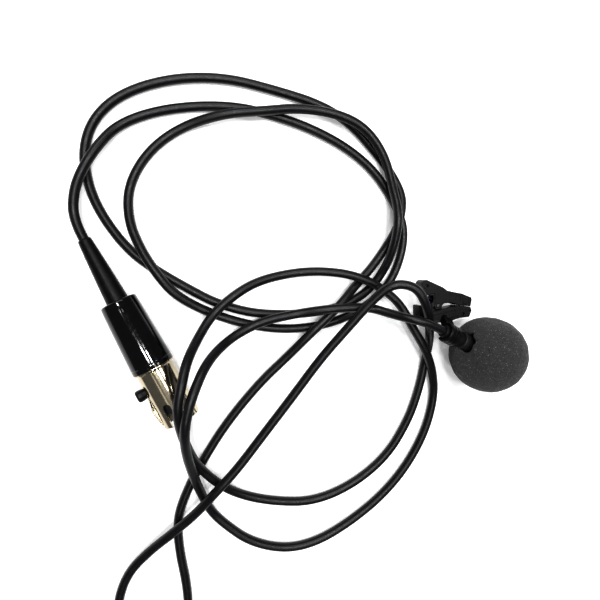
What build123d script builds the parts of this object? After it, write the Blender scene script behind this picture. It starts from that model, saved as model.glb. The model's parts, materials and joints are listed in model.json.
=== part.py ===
from build123d import *
import math
import os

# A lavalier microphone: a foam-covered capsule on a tie clip, a thin cable, and a mini-XLR plug.
# Frame: millimetres, +Z up, the parts lie on the plane Z = 0. The origin is the bottom centre of
# the box around the head (foam ball, microphone and clip).

# ------------------------------------------------------------------ driving dimensions
CABLE_R = 1.1

# microphone head: its axis runs from the ball's centre to the tail
BALL_R = 9.5
BALL_CENTRE = (4.5, -4.8, BALL_R)
MIC_HEADING = math.radians(153.84)
MIC_TILT = math.radians(9.0)
HOUSING_R = 2.3
HOUSING_BORE_R = 2.0
INNER_R = 1.97
HOUSING_FRONT = -3.4
HOUSING_REAR = 9.8
TAIL_END = 15.6
SLEEVE_R = 1.6
WIRE_BORE_R = 0.9
FOAM_FIT = 0.08
MOUTH_RISE = math.radians(32.6)

# clip: both levers are drawn about the pivot, seen from above, and are CLIP_WIDTH thick in Z
PIVOT = (-8.8, 7.8)
CLIP_BOTTOM = 4.6
CLIP_WIDTH = 3.8
CHEEK = 0.7
EAR_GAP = 0.05
EAR = 0.6
PIN_R = 0.5
PIN_PLAY = 0.05
TOOTH_PITCH = 0.8
TEETH = 4
RING_START = 11.9
RING_LENGTH = 3.0
RING_R = 2.5

# plug: its axis starts at the barrel's mouth and points to the nose's tip
PLUG_MOUTH = (-77.77, -5.47, 4.9)
PLUG_HEADING = math.radians(-63.56)
BARREL_LENGTH = 16.92
BARREL_FRONT_R = 4.9
BARREL_REAR_R = 4.15
NOSE_R = 4.4
NOSE_BORE_R = 3.8
NOSE_LENGTH = 14.0
SHANK_R = 4.05
SHANK_LENGTH = 5.0
BOOT_LENGTH = 15.5
BOOT_BASE_R = 2.45
BOOT_TIP_R = 1.45
LATCH_RISE = 15.0
WINDOW_START = 2.9
WINDOW_WIDTH = 3.0
BUTTON_AT = 4.5
BUTTON_R = 1.4
KEYWAY_TURN = -62.0
CONTACTS = 3
CONTACT_CIRCLE_R = 1.45
CONTACT_R = 0.7

# ------------------------------------------------------------------ planes worked out from them
tail_dir = Vector(
    math.cos(MIC_HEADING) * math.cos(MIC_TILT),
    math.sin(MIC_HEADING) * math.cos(MIC_TILT),
    math.sin(MIC_TILT),
)
away_from_clip = Vector(-math.sin(MIC_HEADING), math.cos(MIC_HEADING), 0)
mic_plane = Plane(origin=BALL_CENTRE, x_dir=away_from_clip, z_dir=tail_dir)
mic_side = Plane(origin=mic_plane.origin, x_dir=mic_plane.x_dir, z_dir=-mic_plane.y_dir)
mic_axis = Axis(mic_plane.origin, mic_plane.z_dir)

clip_plane = Plane(origin=(PIVOT[0], PIVOT[1], CLIP_BOTTOM))

plug_slope = math.asin((BARREL_FRONT_R - BARREL_REAR_R) / BARREL_LENGTH)
plug_dir = Vector(
    math.cos(PLUG_HEADING) * math.cos(plug_slope),
    math.sin(PLUG_HEADING) * math.cos(plug_slope),
    math.sin(plug_slope),
)
level_side = Vector(math.sin(PLUG_HEADING), -math.cos(PLUG_HEADING), 0)
plug_axis = Axis(PLUG_MOUTH, plug_dir)
latch_dir = level_side.rotate(plug_axis, -LATCH_RISE)
keyway_dir = latch_dir.rotate(plug_axis, KEYWAY_TURN)
plug_plane = Plane(origin=PLUG_MOUTH, x_dir=latch_dir, z_dir=plug_dir)
plug_side = Plane(origin=plug_plane.origin, x_dir=plug_plane.x_dir, z_dir=-plug_plane.y_dir)
keyway_plane = Plane(origin=PLUG_MOUTH, x_dir=keyway_dir, z_dir=plug_dir)
keyway_side = Plane(origin=PLUG_MOUTH, x_dir=plug_dir, z_dir=keyway_dir)

BARREL_REAR = -BARREL_LENGTH
BOOT_TIP = BARREL_REAR - BOOT_LENGTH

os.makedirs("parts", exist_ok=True)

# ================================================================== microphone head
# foam ball with a blind bore for the housing, and a mouth that opens upwards at its tail side
mouth_start = mic_plane.from_local_coords((0, 0, 3.0))
mouth_dir = Vector(
    math.cos(MIC_HEADING) * math.cos(MOUTH_RISE),
    math.sin(MIC_HEADING) * math.cos(MOUTH_RISE),
    math.sin(MOUTH_RISE),
)
mouth_plane = Plane(origin=mouth_start, z_dir=mouth_dir)
with BuildPart() as foam_windscreen:
    with Locations(BALL_CENTRE):
        Sphere(BALL_R)
    with BuildSketch(mic_plane.offset(HOUSING_FRONT - 0.5)):
        Circle(HOUSING_R + FOAM_FIT)
    extrude(amount=BALL_R + 5, mode=Mode.SUBTRACT)
    with BuildSketch(mouth_plane):
        Circle(HOUSING_R + FOAM_FIT)
    with BuildSketch(mouth_plane.offset(9)):
        Circle(3.3)
    loft(mode=Mode.SUBTRACT)
foam_windscreen.part.label = "foam_windscreen"
export_step(foam_windscreen.part, "parts/foam_windscreen.step")

# turned housing with a lip at each end
with BuildPart() as mic_housing:
    with BuildSketch(mic_side):
        with BuildLine():
            Polyline(
                (1.7, HOUSING_FRONT),
                (HOUSING_R - 0.2, HOUSING_FRONT),
                (HOUSING_R, HOUSING_FRONT + 0.2),
                (HOUSING_R, HOUSING_REAR - 0.3),
                (HOUSING_R - 0.3, HOUSING_REAR),
                (SLEEVE_R + 0.03, HOUSING_REAR),
                (SLEEVE_R + 0.03, HOUSING_REAR - 0.4),
                (HOUSING_BORE_R, HOUSING_REAR - 0.4),
                (HOUSING_BORE_R, HOUSING_FRONT + 0.3),
                (1.7, HOUSING_FRONT + 0.3),
                close=True,
            )
        make_face()
    revolve(axis=mic_axis)
mic_housing.part.label = "mic_housing"
export_step(mic_housing.part, "parts/mic_housing.step")

# perforated metal disc behind the front lip
GRILLE_FRONT = HOUSING_FRONT + 0.3
with BuildPart() as mic_grille:
    with BuildSketch(mic_plane.offset(GRILLE_FRONT)):
        Circle(INNER_R)
        with HexLocations(radius=0.3, x_count=5, y_count=5):
            Circle(0.14, mode=Mode.SUBTRACT)
    extrude(amount=0.25)
mic_grille.part.label = "mic_grille"
export_step(mic_grille.part, "parts/mic_grille.step")

# acoustic cloth disc behind the grille
CLOTH_FRONT = GRILLE_FRONT + 0.25
with BuildPart() as grille_cloth:
    with BuildSketch(mic_plane.offset(CLOTH_FRONT)):
        Circle(INNER_R)
    extrude(amount=0.15)
grille_cloth.part.label = "grille_cloth"
export_step(grille_cloth.part, "parts/grille_cloth.step")

# rubber ring that seals the capsule's face
GASKET_FRONT = CLOTH_FRONT + 0.15
with BuildPart() as capsule_gasket:
    with BuildSketch(mic_plane.offset(GASKET_FRONT)):
        Circle(INNER_R)
        Circle(1.45, mode=Mode.SUBTRACT)
    extrude(amount=0.4)
capsule_gasket.part.label = "capsule_gasket"
export_step(capsule_gasket.part, "parts/capsule_gasket.step")

# electret capsule can with its sound hole
CAPSULE_FRONT = GASKET_FRONT + 0.4
with BuildPart() as electret_capsule:
    with BuildSketch(mic_plane.offset(CAPSULE_FRONT)):
        Circle(INNER_R)
    extrude(amount=1.5)
    fillet(electret_capsule.edges().filter_by(GeomType.CIRCLE), 0.12)
    with BuildSketch(mic_plane.offset(CAPSULE_FRONT)):
        Circle(0.4)
    extrude(amount=0.6, mode=Mode.SUBTRACT)
electret_capsule.part.label = "electret_capsule"
export_step(electret_capsule.part, "parts/electret_capsule.step")

# small board on the back of the capsule, with two soldered joints
BOARD_FRONT = CAPSULE_FRONT + 1.5
with BuildPart() as capsule_board:
    with BuildSketch(mic_plane.offset(BOARD_FRONT)):
        Circle(1.9)
    extrude(amount=0.5)
capsule_board.part.label = "capsule_board"
export_step(capsule_board.part, "parts/capsule_board.step")

JOINT_FRONT = BOARD_FRONT + 0.5
MIC_WIRE_X = 0.4
with BuildPart(mic_plane.offset(JOINT_FRONT)) as solder_joints:
    with Locations((-MIC_WIRE_X, 0, 0), (MIC_WIRE_X, 0, 0)):
        Cone(0.34, 0.24, 0.3, align=(Align.CENTER, Align.CENTER, Align.MIN))
solder_joints.part.label = "solder_joints"
export_step(solder_joints.part, "parts/solder_joints.step")

# the two conductors from the board to the cable's end
with BuildPart() as mic_wires:
    with BuildSketch(mic_plane.offset(JOINT_FRONT + 0.3)):
        with Locations((-MIC_WIRE_X, 0), (MIC_WIRE_X, 0)):
            Circle(0.24)
    extrude(amount=TAIL_END - JOINT_FRONT - 0.3)
mic_wires.part.label = "mic_wires"
export_step(mic_wires.part, "parts/mic_wires.step")

# crimp ring that keeps a pull on the cable off the joints
with BuildPart() as mic_crimp:
    with BuildSketch(mic_plane.offset(6.6)):
        Circle(1.9)
        Circle(WIRE_BORE_R, mode=Mode.SUBTRACT)
    extrude(amount=1.6)
mic_crimp.part.label = "mic_crimp"
export_step(mic_crimp.part, "parts/mic_crimp.step")

# rubber sleeve: a flange inside the housing, a straight neck for the clip's ring, a rounded end
with BuildPart() as mic_sleeve:
    with BuildSketch(mic_side):
        with BuildLine():
            Polyline(
                (WIRE_BORE_R, HOUSING_REAR - 1.5),
                (INNER_R, HOUSING_REAR - 1.5),
                (INNER_R, HOUSING_REAR - 0.4),
                (SLEEVE_R, HOUSING_REAR - 0.4),
                (SLEEVE_R, TAIL_END - 0.5),
                (SLEEVE_R - 0.3, TAIL_END),
                (WIRE_BORE_R, TAIL_END),
                close=True,
            )
        make_face()
    revolve(axis=mic_axis)
mic_sleeve.part.label = "mic_sleeve"
export_step(mic_sleeve.part, "parts/mic_sleeve.step")

# ================================================================== clip
# the jaws meet along this line, a little below the pivot, and both are notched across it
JAW_BACK = (5.5, 0.02)
JAW_FRONT = (8.9, -0.38)
JAW_HALF_GAP = 0.03
jaw_slope = (JAW_FRONT[1] - JAW_BACK[1]) / (JAW_FRONT[0] - JAW_BACK[0])
notches = [
    (JAW_BACK[0] + 0.5 + TOOTH_PITCH * i, JAW_BACK[1] + jaw_slope * (0.5 + TOOTH_PITCH * i))
    for i in range(TEETH)
]

# lever that moves: a cheek on each side of the pivot, a jaw and a rounded handle
with BuildPart() as clip_upper_lever:
    with BuildSketch(clip_plane):
        with BuildLine():
            ThreePointArc((-1.05, 0), (0, -1.05), (1.05, 0))
            Polyline(
                (1.05, 0),
                (1.6, 0.55),
                (3.8, 0.65),
                (JAW_BACK[0], JAW_BACK[1] + JAW_HALF_GAP),
                (JAW_FRONT[0], JAW_FRONT[1] + JAW_HALF_GAP),
                (9.2, 1.3),
                (9.1, 1.95),
                (6.4, 3.0),
                (4.3, 3.35),
                (2.4, 3.75),
                (1.3, 4.55),
                (-2.89, 6.35),
            )
            ThreePointArc((-2.89, 6.35), (-4.5, 5.3), (-3.5, 4.16))
            Polyline((-3.5, 4.16), (-2.9, 2.5), (-0.9, 3.15), (-1.05, 0))
        make_face()
    extrude(amount=CLIP_WIDTH)
    with BuildSketch(clip_plane.offset(CHEEK)):
        with Locations((0.05, 0.4)):
            Rectangle(3.4, 4.2)
    extrude(amount=CLIP_WIDTH - 2 * CHEEK, mode=Mode.SUBTRACT)
    with BuildSketch(clip_plane):
        Circle(PIN_R)
        with Locations(*notches):
            RegularPolygon(radius=0.3, side_count=4)
    extrude(amount=CLIP_WIDTH, mode=Mode.SUBTRACT)
clip_upper_lever.part.label = "clip_upper_lever"
export_step(clip_upper_lever.part, "parts/clip_upper_lever.step")

# lever that stays: handle with an upturned end, two ears for the pin, jaw, arm and split ring
SLOT_ANGLE = -50.0
SLOT_WIDTH = 1.3
slot_middle = (
    RING_R * math.cos(math.radians(SLOT_ANGLE)),
    RING_R * math.sin(math.radians(SLOT_ANGLE)),
)
with BuildPart() as clip_lower_lever:
    with BuildSketch(clip_plane):
        with BuildLine():
            Polyline(
                (-5.1, 0.1),
                (-4.0, 0.1),
                (-3.8, -1.95),
                (-2.7, -1.72),
                (JAW_BACK[0], JAW_BACK[1] - JAW_HALF_GAP),
                (JAW_FRONT[0], JAW_FRONT[1] - JAW_HALF_GAP),
                (9.25, -1.4),
                (8.6, -3.0),
                (6.2, -3.2),
                (4.6, -3.6),
                (3.2, -4.3),
                (-1.4, -4.3),
                (-2.2, -3.2),
                (-5.0, -3.15),
                close=True,
            )
        make_face()
    extrude(amount=CLIP_WIDTH)
    with BuildSketch(
        clip_plane.offset(CHEEK + EAR_GAP),
        clip_plane.offset(CLIP_WIDTH - CHEEK - EAR_GAP - EAR),
    ):
        Circle(1.0)
        with BuildLine():
            Polyline((-1.2, -1.8), (1.6, -1.2), (0.96, -0.25), (-0.96, -0.25), close=True)
        make_face()
    extrude(amount=EAR)
    with BuildSketch(clip_plane):
        Circle(PIN_R + PIN_PLAY)
        with Locations(*notches):
            RegularPolygon(radius=0.3, side_count=4)
    extrude(amount=CLIP_WIDTH, mode=Mode.SUBTRACT)
    with BuildSketch(mic_plane.offset(RING_START)):
        Circle(RING_R)
        with BuildLine():
            Polyline(
                (-0.6, -2.2),
                (-2.35, -0.4),
                (-4.3, -3.6),
                (-4.3, -6.7),
                (-3.0, -6.7),
                (-2.9, -4.6),
                close=True,
            )
        make_face()
    extrude(amount=RING_LENGTH)
    with BuildSketch(mic_plane.offset(RING_START - 0.1)):
        Circle(SLEEVE_R + 0.02)
        with Locations(slot_middle):
            Rectangle(2 * RING_R, SLOT_WIDTH, rotation=SLOT_ANGLE)
    extrude(amount=RING_LENGTH + 0.2, mode=Mode.SUBTRACT)
clip_lower_lever.part.label = "clip_lower_lever"
export_step(clip_lower_lever.part, "parts/clip_lower_lever.step")

# hinge pin, held by the cheeks and turning in the ears
with BuildPart() as clip_pin:
    with BuildSketch(clip_plane):
        Circle(PIN_R)
    extrude(amount=CLIP_WIDTH)
clip_pin.part.label = "clip_pin"
export_step(clip_pin.part, "parts/clip_pin.step")

# flat spring: a loop round the pin and a leg against each lever
SPRING_WIDTH = 0.8
with BuildPart() as clip_spring:
    with BuildSketch(clip_plane.offset((CLIP_WIDTH - SPRING_WIDTH) / 2)):
        with BuildLine() as spring_line:
            Line((-2.6, -1.42), (-0.15, -0.8))
            ThreePointArc((-0.15, -0.8), (0.81, 0), (-0.15, 0.8))
            Line((-0.15, 0.8), (-2.5, 2.38))
        trace(line_width=0.24)
    extrude(amount=SPRING_WIDTH)
clip_spring.part.label = "clip_spring"
export_step(clip_spring.part, "parts/clip_spring.step")

# ================================================================== plug
# tapered barrel, open at the nose and closed at the boot but for the boot's hole
with BuildPart() as plug_barrel:
    with BuildSketch(plug_side):
        with BuildLine():
            Polyline(
                (BOOT_BASE_R + 0.03, BARREL_REAR),
                (BARREL_REAR_R - 0.25, BARREL_REAR),
                (BARREL_REAR_R + 0.01, BARREL_REAR + 0.25),
                (BARREL_FRONT_R - 0.01, -0.15),
                (BARREL_FRONT_R - 0.15, 0),
                (SHANK_R + 0.02, 0),
                (SHANK_R + 0.02, -SHANK_LENGTH - 0.2),
                (3.55, -SHANK_LENGTH - 0.2),
                (3.55, BARREL_REAR + 1.5),
                (BOOT_BASE_R + 0.03, BARREL_REAR + 1.5),
                close=True,
            )
        make_face()
    revolve(axis=plug_axis)
plug_barrel.part.label = "plug_barrel"
export_step(plug_barrel.part, "parts/plug_barrel.step")

# rubber boot: flange inside the barrel, then a long taper to the cable
with BuildPart() as plug_boot:
    with BuildSketch(plug_side):
        with BuildLine():
            Polyline(
                (WIRE_BORE_R, BARREL_REAR + 2.3),
                (3.5, BARREL_REAR + 2.3),
                (3.5, BARREL_REAR + 1.5),
                (BOOT_BASE_R, BARREL_REAR + 1.5),
                (BOOT_BASE_R, BARREL_REAR - 0.3),
                (BOOT_TIP_R + 0.1, BOOT_TIP + 0.3),
                (BOOT_TIP_R - 0.1, BOOT_TIP),
                (WIRE_BORE_R, BOOT_TIP),
                close=True,
            )
        make_face()
    revolve(axis=plug_axis)
plug_boot.part.label = "plug_boot"
export_step(plug_boot.part, "parts/plug_boot.step")

# metal clamp that grips the cable behind the boot's flange
with BuildPart() as cable_clamp:
    with BuildSketch(plug_plane.offset(BARREL_REAR + 2.4)):
        Circle(3.45)
        Circle(1.1, mode=Mode.SUBTRACT)
    extrude(amount=2.6)
cable_clamp.part.label = "cable_clamp"
export_step(cable_clamp.part, "parts/cable_clamp.step")

# nickel shell: a shank in the barrel, a chamfered shoulder, and the tube of the nose
KEYWAY_WIDTH = 1.8
KEYWAY_START = 9.4
with BuildPart() as plug_shell:
    with BuildSketch(plug_side):
        with BuildLine():
            Polyline(
                (3.6, -SHANK_LENGTH),
                (SHANK_R, -SHANK_LENGTH),
                (SHANK_R, 0.02),
                (BARREL_FRONT_R - 0.2, 0.02),
                (BARREL_FRONT_R - 0.2, 0.3),
                (NOSE_R, 0.65),
                (NOSE_R, NOSE_LENGTH - 0.25),
                (NOSE_R - 0.25, NOSE_LENGTH),
                (NOSE_BORE_R, NOSE_LENGTH),
                (NOSE_BORE_R, 0),
                (3.6, 0),
                close=True,
            )
        make_face()
    revolve(axis=plug_axis)
    with BuildSketch(plug_plane.offset(WINDOW_START)):
        with Locations((NOSE_R, 0)):
            Rectangle(2.0, WINDOW_WIDTH)
    extrude(amount=NOSE_LENGTH, mode=Mode.SUBTRACT)
    with BuildSketch(keyway_plane.offset(KEYWAY_START)):
        with Locations((NOSE_R, 0)):
            Rectangle(2.0, KEYWAY_WIDTH)
    extrude(amount=NOSE_LENGTH, mode=Mode.SUBTRACT)
    with BuildSketch(keyway_side.offset(3.0)):
        with Locations((KEYWAY_START, 0)):
            Circle(KEYWAY_WIDTH / 2)
    extrude(amount=2.5, mode=Mode.SUBTRACT)
plug_shell.part.label = "plug_shell"
export_step(plug_shell.part, "parts/plug_shell.step")

# plastic insert: a base that fits the shank, flat on the latch's side, and a nose with the holes
INSERT_FRONT = 11.5
with BuildPart() as plug_insert:
    with BuildSketch(plug_plane.offset(-3.0)):
        Circle(3.57)
        with Locations((3.8, 0)):
            Rectangle(2.0, 8.0, mode=Mode.SUBTRACT)
    extrude(amount=2.8)
    with BuildSketch(plug_plane.offset(-0.2)):
        Circle(2.6)
    extrude(amount=INSERT_FRONT + 0.2)
    chamfer(plug_insert.edges().filter_by(GeomType.CIRCLE).sort_by(plug_axis)[-1], 0.2)
    with BuildSketch(plug_plane.offset(-3.0)):
        with PolarLocations(CONTACT_CIRCLE_R, CONTACTS, start_angle=60):
            Circle(CONTACT_R + 0.02)
    extrude(amount=INSERT_FRONT + 3.0, mode=Mode.SUBTRACT)
plug_insert.part.label = "plug_insert"
export_step(plug_insert.part, "parts/plug_insert.step")

# three socket contacts: a tube towards the nose and a solder tail
CONTACT_FRONT = 11.3
CONTACT_STEP = 3.0
CONTACT_TAIL = -5.5
SOCKET_R = 0.5
SOCKET_DEPTH = 7.0
with BuildPart() as socket_contacts:
    with BuildSketch(plug_plane.offset(CONTACT_STEP)):
        with PolarLocations(CONTACT_CIRCLE_R, CONTACTS, start_angle=60):
            Circle(CONTACT_R)
    extrude(amount=CONTACT_FRONT - CONTACT_STEP)
    with BuildSketch(plug_plane.offset(CONTACT_TAIL)):
        with PolarLocations(CONTACT_CIRCLE_R, CONTACTS, start_angle=60):
            Circle(0.45)
    extrude(amount=CONTACT_STEP - CONTACT_TAIL)
    with BuildSketch(plug_plane.offset(CONTACT_FRONT - SOCKET_DEPTH)):
        with PolarLocations(CONTACT_CIRCLE_R, CONTACTS, start_angle=60):
            Circle(SOCKET_R)
    extrude(amount=SOCKET_DEPTH, mode=Mode.SUBTRACT)
socket_contacts.part.label = "socket_contacts"
export_step(socket_contacts.part, "parts/socket_contacts.step")

# conductors from the cable's end to the contacts
PLUG_WIRE_R = 0.26
WIRE_BEND = -9.5
with BuildPart() as plug_wires:
    for i in range(CONTACTS):
        angle = math.radians(60 + 360 * i / CONTACTS)
        near = (0.5 * math.cos(angle), 0.5 * math.sin(angle))
        far = (CONTACT_CIRCLE_R * math.cos(angle), CONTACT_CIRCLE_R * math.sin(angle))
        with BuildLine() as wire_line:
            Polyline(
                plug_plane.from_local_coords((near[0], near[1], BOOT_TIP)),
                plug_plane.from_local_coords((near[0], near[1], WIRE_BEND)),
                plug_plane.from_local_coords((far[0], far[1], CONTACT_TAIL)),
            )
        with BuildSketch(Plane(origin=wire_line.line @ 0, z_dir=wire_line.line % 0)):
            Circle(PLUG_WIRE_R)
        sweep(path=wire_line.line, transition=Transition.ROUND)
plug_wires.part.label = "plug_wires"
export_step(plug_wires.part, "parts/plug_wires.step")

# latch: a metal strip hinged at its rear, with a steep tooth and a ramp to the tip
LATCH_WIDTH = 2.6
with BuildPart() as latch_lever:
    with BuildSketch(plug_side.offset(-LATCH_WIDTH / 2)):
        with BuildLine():
            Polyline(
                (2.9, -2.2),
                (3.3, -2.2),
                (3.3, 2.4),
                (4.15, 3.3),
                (4.15, 8.7),
                (5.0, 8.8),
                (4.95, 9.3),
                (4.1, 13.8),
                (3.6, 13.8),
                (3.6, 3.7),
                (2.9, 2.9),
                close=True,
            )
        make_face()
    extrude(amount=LATCH_WIDTH)
latch_lever.part.label = "latch_lever"
export_step(latch_lever.part, "parts/latch_lever.step")

# black button on the strip
button_plane = Plane(
    origin=plug_plane.from_local_coords((4.15, 0, BUTTON_AT)),
    x_dir=plug_plane.z_dir,
    z_dir=plug_plane.x_dir,
)
button_axis = Axis(button_plane.origin, button_plane.z_dir)
with BuildPart() as latch_button:
    with BuildSketch(button_plane):
        Circle(BUTTON_R)
    extrude(amount=2.25)
    outer_edge = latch_button.edges().filter_by(GeomType.CIRCLE).sort_by(button_axis)[-1]
    fillet(outer_edge, 0.9)
latch_button.part.label = "latch_button"
export_step(latch_button.part, "parts/latch_button.step")

# leaf under the strip that pushes the latch out
with BuildPart() as latch_spring:
    with BuildSketch(plug_side.offset(-0.8)):
        with BuildLine():
            Polyline((2.75, 4.0), (3.45, 6.8), (2.75, 9.6))
        trace(line_width=0.16)
    extrude(amount=1.6)
latch_spring.part.label = "latch_spring"
export_step(latch_spring.part, "parts/latch_spring.step")

# ================================================================== cable
# The points run from the microphone's tail to the plug's boot. The cable lies on the floor and
# rises where it passes over itself, over the plug's nose and over the clip's handles.
CABLE_POINTS = [
    (-17.5, 5, 12), (-21.5, 6, 8.9), (-26, 7.5, 6.6), (-32.5, 7.5, 6.5), (-38, 7, 5.6),
    (-44, 6, 3.8), (-52, 4.5, 3.8), (-58.5, 1.5, 4.2), (-63, -1.5, 7.2), (-66, -4.5, 11.4),
    (-68, -8.5, 14), (-69.5, -12.5, 15.2), (-70.5, -17.5, 15.2), (-70.5, -23, 12.2), (-69.5, -29.5, 8),
    (-68, -36, 3.9), (-65.5, -43, 1.2), (-62, -47, 1.1), (-55.5, -52.5, 1.1), (-46.5, -55.5, 1.1),
    (-38, -54.5, 1.1), (-29, -50, 1.1), (-20.5, -44, 1.1), (-13.5, -36.5, 1.1), (-8, -27, 1.1),
    (-5.5, -17, 1.1), (-7.5, -9.5, 3.4), (-10.5, -3.5, 5.2), (-14, 2, 5), (-17, 8, 4.2),
    (-22.5, 12.5, 4), (-29.5, 15.5, 3.9), (-37.5, 16.5, 3), (-45, 16, 1.5), (-53.5, 14, 2.4),
    (-59.5, 10.5, 3.9), (-64.5, 6, 4.1), (-68, 0.5, 7.2), (-70, -3.5, 11.4), (-71, -8, 14),
    (-72, -13, 14.4), (-71.5, -18.5, 12.3), (-70, -25, 8.1), (-68, -30.5, 4.2), (-63.5, -35.5, 3.2),
    (-57.5, -40, 1.2), (-49, -42.5, 1.1), (-39, -43.5, 1.1), (-28.5, -40, 1.1), (-19, -33, 1.1),
    (-13, -23.5, 1.1), (-10, -15, 1.1), (-8.5, -7.5, 1.1), (-8, -2.5, 2.5), (-11.5, 3.2, 9.3),
    (-14, 8.5, 12.6), (-17, 13, 12.6), (-22.5, 13.5, 11.4), (-27, 9, 9.4), (-32, 3, 8.2),
    (-38.5, -4.5, 7), (-45.5, -14, 6.2), (-53, -23.5, 6), (-59, -31, 6.2), (-64, -36, 6.4),
    (-69, -42, 4.6), (-74.5, -46.5, 3.9), (-80, -51.5, 1.7), (-85, -56.5, 1.1), (-87.5, -62.5, 1.1),
    (-88, -69, 1.1), (-85.5, -75, 1.1), (-79.5, -77.5, 1.1), (-73.5, -75, 1.1), (-71, -69, 1.1),
    (-71.5, -61, 1.1), (-73, -53, 1.1), (-73.5, -44.5, 1.1), (-71, -37.5, 1.1), (-67.5, -31, 1.1),
    (-61.5, -21.5, 1.1), (-53, -11.5, 1.1), (-46, -5, 1.7), (-41, 0.5, 3.7), (-36.5, 4.5, 3.8),
    (-32.5, 8.5, 3.7), (-28, 13, 1.5), (-24, 17, 1.1), (-20, 22.5, 1.2), (-18, 27, 3.3),
    (-17, 31, 3.9), (-16.5, 35.5, 3), (-18.5, 41, 1.1), (-23, 46.5, 1.1), (-30, 53.5, 1.1),
    (-38, 57.5, 1.1), (-49, 60, 1.1), (-60.5, 62, 1.1), (-72.5, 61, 1.1), (-83.5, 57, 1.1),
    (-90, 51, 1.1), (-92.5, 43.5, 1.1), (-91.5, 35.5, 1.1), (-88.5, 28.5, 1.1), (-83, 21, 1.1),
    (-77, 16.5, 1.1), (-69.5, 12, 1.1), (-63, 8.5, 1.1), (-54.5, 6, 1.1), (-44, 5.5, 1.1),
    (-35, 6.5, 1.1), (-28, 9, 1.1), (-23.5, 12.5, 1.1), (-20.5, 17.5, 2.6), (-19.5, 22.5, 5.2),
    (-19, 27, 6.4), (-19, 31.5, 6.4), (-19.5, 36.5, 4.4), (-21.5, 45, 3.7), (-26.5, 51.5, 3.7),
    (-33.5, 54.5, 3.7), (-43, 55.5, 3.2), (-52, 54, 3.7), (-61, 53, 3.4), (-71, 50, 1.1),
    (-78.5, 44, 1.1), (-83, 36, 1.1), (-83, 28, 1.6), (-80, 21, 3.7), (-76.5, 15.5, 3.9),
    (-73, 11, 2.9), (-66.5, 7, 1.1), (-58.5, 4, 1.1), (-49.5, 2, 1.1), (-40.5, 2, 1.1),
    (-31.5, 4, 1.1), (-24, 8, 1.1), (-18.5, 13.5, 1.1), (-15.5, 21, 1.1), (-15, 28, 1.1),
    (-18, 34.5, 1.1), (-23.5, 42, 1.1), (-31, 47.5, 1.1), (-40, 51.5, 1.1), (-49, 54, 1.1),
    (-58, 55.5, 1.1), (-68, 55, 1.1), (-77.5, 53, 1.1), (-85, 49.5, 1.3), (-89, 44, 3.5),
    (-92, 39, 3.9), (-94, 34, 3.7),
]
route = [
    mic_plane.from_local_coords((0, 0, TAIL_END)),
    mic_plane.from_local_coords((0, 0, TAIL_END + 4.5)),
    *[Vector(point) for point in CABLE_POINTS],
    plug_plane.from_local_coords((0, 0, BOOT_TIP - 5.0)),
    plug_plane.from_local_coords((0, 0, BOOT_TIP)),
]
corner_radii = []
for before, corner, after in zip(route, route[1:], route[2:]):
    turn = math.radians((corner - before).get_angle(after - corner))
    shorter_run = min((corner - before).length, (after - corner).length)
    corner_radii.append(0.45 * shorter_run / math.tan(turn / 2))

with BuildPart() as cable:
    with BuildLine() as cable_line:
        FilletPolyline(*route, radius=corner_radii)
    with BuildSketch(Plane(origin=route[0], z_dir=tail_dir)):
        Circle(CABLE_R)
    sweep(path=cable_line.line)
cable.part.label = "cable"
export_step(cable.part, "parts/cable.step")

length = sum(edge.length for edge in cable_line.edges())
swept = math.pi * CABLE_R**2 * length
print("cable length", round(length, 1), "volume over section x length", round(cable.part.volume / swept, 4))
print("cable radii", [round(radius, 1) for radius in corner_radii])
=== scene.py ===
"""Looks of a clip-on lavalier microphone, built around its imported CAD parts.

Every piece is modelled in millimetres in a frame of its own (microphone, clip or plug) and then
placed in metres in the row frame.
"""
import json
import math

import bmesh
import bpy
from mathutils import Matrix, Vector, noise


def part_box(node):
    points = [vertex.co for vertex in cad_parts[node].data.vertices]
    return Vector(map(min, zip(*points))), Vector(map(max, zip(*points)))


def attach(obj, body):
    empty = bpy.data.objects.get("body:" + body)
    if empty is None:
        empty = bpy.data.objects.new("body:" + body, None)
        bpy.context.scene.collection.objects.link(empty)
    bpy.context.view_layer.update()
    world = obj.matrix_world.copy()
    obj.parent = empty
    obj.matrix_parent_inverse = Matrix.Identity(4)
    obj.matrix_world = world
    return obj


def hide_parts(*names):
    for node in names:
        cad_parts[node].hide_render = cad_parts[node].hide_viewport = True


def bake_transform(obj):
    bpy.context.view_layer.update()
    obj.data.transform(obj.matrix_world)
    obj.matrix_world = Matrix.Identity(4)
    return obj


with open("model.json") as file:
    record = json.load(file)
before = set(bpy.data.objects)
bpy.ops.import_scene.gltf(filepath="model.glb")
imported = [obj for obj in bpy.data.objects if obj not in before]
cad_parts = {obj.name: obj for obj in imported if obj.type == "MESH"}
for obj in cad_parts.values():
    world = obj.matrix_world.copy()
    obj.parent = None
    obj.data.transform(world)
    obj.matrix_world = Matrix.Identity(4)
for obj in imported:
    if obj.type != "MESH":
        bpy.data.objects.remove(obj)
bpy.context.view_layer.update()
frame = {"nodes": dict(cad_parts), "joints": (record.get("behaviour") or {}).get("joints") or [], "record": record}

MM = 0.001
FINE = 128
SMALL = 40
TURN = 2 * math.pi
CREASE = math.radians(40)
scene = bpy.context.scene
nodes = frame["nodes"]
joints = {j["name"]: j for j in frame["joints"]}
mounts = {m["name"]: m for m in frame["record"]["mounts"]}

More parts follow.
